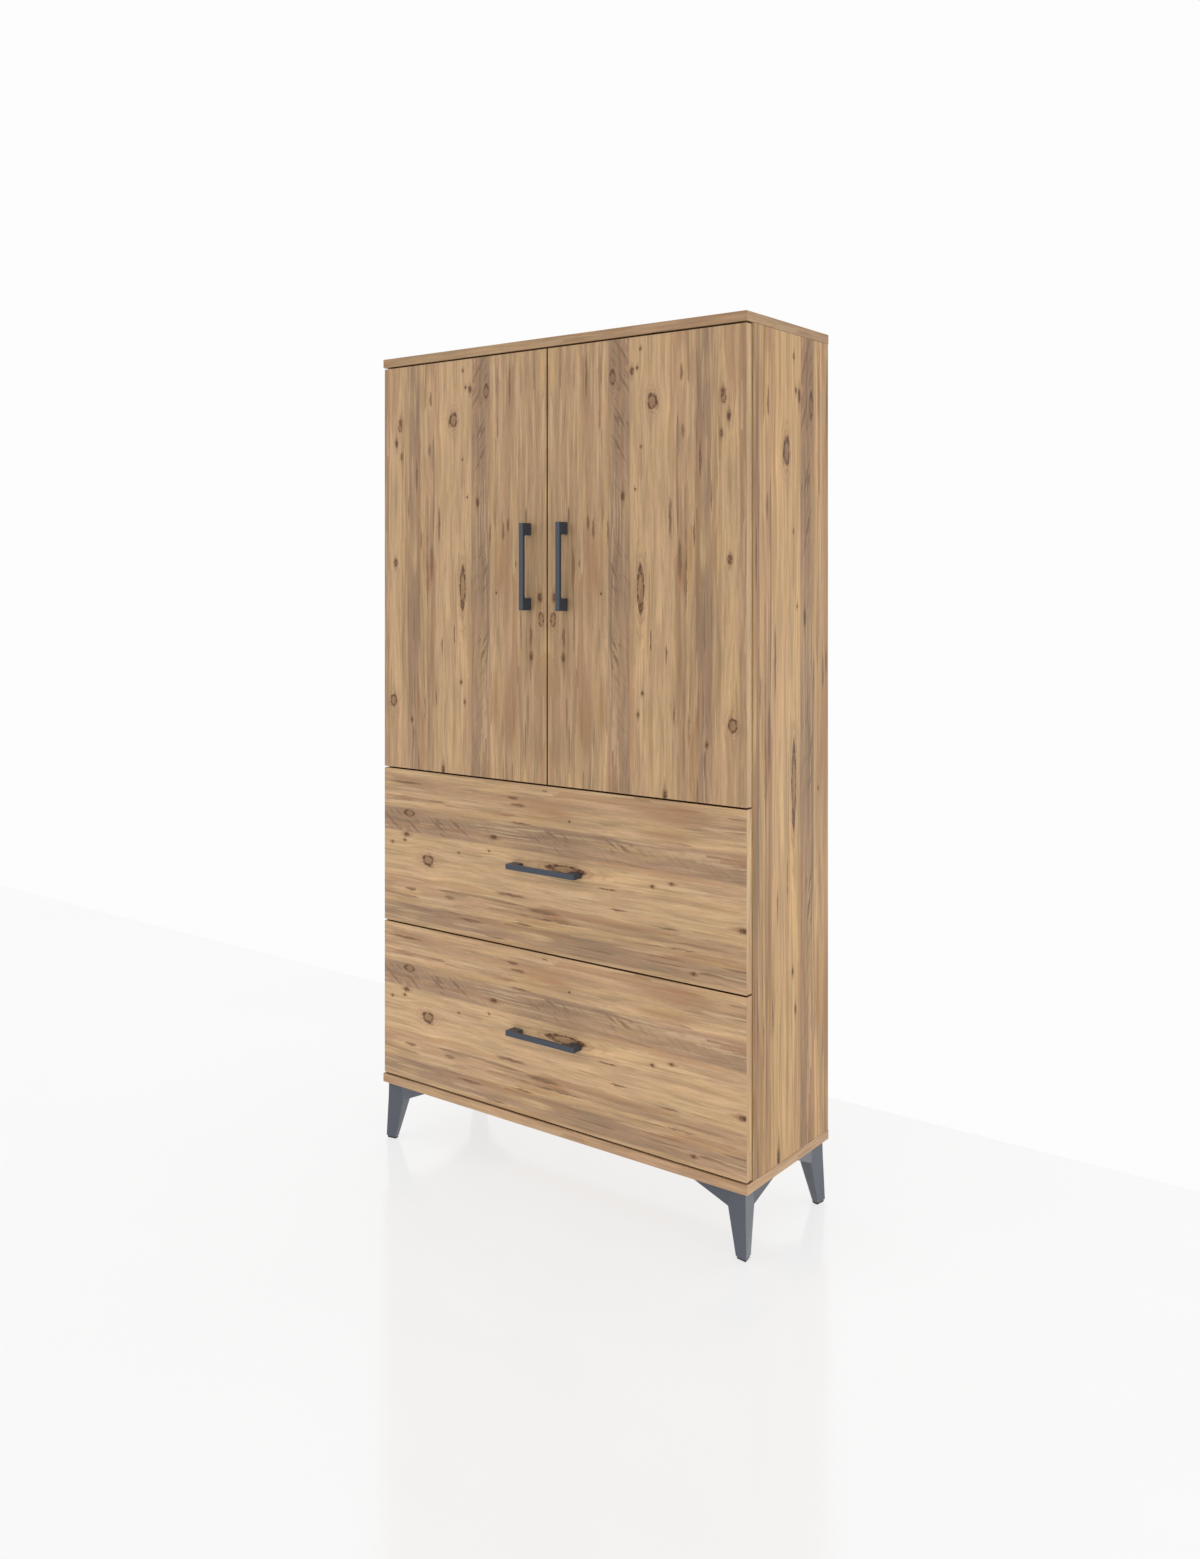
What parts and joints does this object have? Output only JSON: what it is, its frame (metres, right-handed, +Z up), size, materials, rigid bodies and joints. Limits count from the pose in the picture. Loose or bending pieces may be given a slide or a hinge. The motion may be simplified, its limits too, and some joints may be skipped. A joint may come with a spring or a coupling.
{
  "type": "armoire",
  "caption": "Tall, shallow wood-look armoire with hinged doors above full-width drawers, dark bar handles and short tapered legs.",
  "frame": {"origin": "centre of the bounding box at floor level, handles included", "axes": "+Z up; the doors and drawer fronts face -Y; +X is to the right of someone facing the doors"},
  "size_m": [0.9, 0.328, 1.663],
  "materials": {
    "wood_board": "wood-look melamine board, satin",
    "wood_sheet": "thin hardboard sheet, matt",
    "leg_shell": "moulded, dark blue-grey, satin",
    "bar_metal": "powder-coated dark blue-grey, matt",
    "glide_plastic": "black plastic",
    "hinge_steel": "nickel-plated steel",
    "rail_steel": "off-white powder-coated steel"
  },
  "bodies": {
    "carcass": {"top_panel": "wood_board", "bottom_panel": "wood_board", "side_panel_left": "wood_board", "side_panel_right": "wood_board", "divider_shelf": "wood_board", "shelf_lower": "wood_board", "shelf_upper": "wood_board", "back_panel_lower": "wood_sheet", "back_panel_upper": "wood_sheet", "leg_front_left": "leg_shell", "leg_front_right": "leg_shell", "leg_rear_right": "leg_shell", "leg_rear_left": "leg_shell", "glide_front_left": "glide_plastic", "glide_front_right": "glide_plastic", "glide_rear_right": "glide_plastic", "glide_rear_left": "glide_plastic", "hinge_arm_left_lower": "hinge_steel", "hinge_arm_left_upper": "hinge_steel", "hinge_arm_right_lower": "hinge_steel", "hinge_arm_right_upper": "hinge_steel", "cabinet_rail_lower_left": "rail_steel", "cabinet_rail_lower_right": "rail_steel", "cabinet_rail_upper_left": "rail_steel", "cabinet_rail_upper_right": "rail_steel", "shelf_pin_lower_left_front": "hinge_steel", "shelf_pin_lower_left_rear": "hinge_steel", "shelf_pin_lower_right_front": "hinge_steel", "shelf_pin_lower_right_rear": "hinge_steel", "shelf_pin_upper_left_front": "hinge_steel", "shelf_pin_upper_left_rear": "hinge_steel", "shelf_pin_upper_right_front": "hinge_steel", "shelf_pin_upper_right_rear": "hinge_steel"},
    "door_left": {"door_left": "wood_board", "handle_door_left": "bar_metal", "hinge_cup_left_lower": "hinge_steel", "hinge_cup_left_upper": "hinge_steel"},
    "door_right": {"door_right": "wood_board", "handle_door_right": "bar_metal", "hinge_cup_right_lower": "hinge_steel", "hinge_cup_right_upper": "hinge_steel"},
    "drawer_lower": {"drawer_lower_front": "wood_board", "drawer_lower_back": "wood_board", "drawer_lower_bottom": "wood_sheet", "drawer_lower_side_left": "wood_board", "drawer_lower_side_right": "wood_board", "drawer_lower_rail_left": "rail_steel", "drawer_lower_rail_right": "rail_steel", "handle_drawer_lower": "bar_metal"},
    "drawer_upper": {"drawer_upper_front": "wood_board", "drawer_upper_back": "wood_board", "drawer_upper_bottom": "wood_sheet", "drawer_upper_side_left": "wood_board", "drawer_upper_side_right": "wood_board", "drawer_upper_rail_left": "rail_steel", "drawer_upper_rail_right": "rail_steel", "handle_drawer_upper": "bar_metal"}
  },
  "joints": [
    {"name": "door_left_hinge", "type": "hinge", "parent": "carcass", "child": "door_left", "pos_m": [-0.442, -0.1325, 1.2185], "axis": [0, 0, -1], "range_deg": [0, 110]},
    {"name": "door_right_hinge", "type": "hinge", "parent": "carcass", "child": "door_right", "pos_m": [0.442, -0.1325, 1.2185], "axis": [0, 0, 1], "range_deg": [0, 110]},
    {"name": "drawer_upper_slide", "type": "slide", "parent": "carcass", "child": "drawer_upper", "axis": [0, -1, 0], "range_m": [0, 0.185]},
    {"name": "drawer_lower_slide", "type": "slide", "parent": "carcass", "child": "drawer_lower", "axis": [0, -1, 0], "range_m": [0, 0.185]}
  ]
}
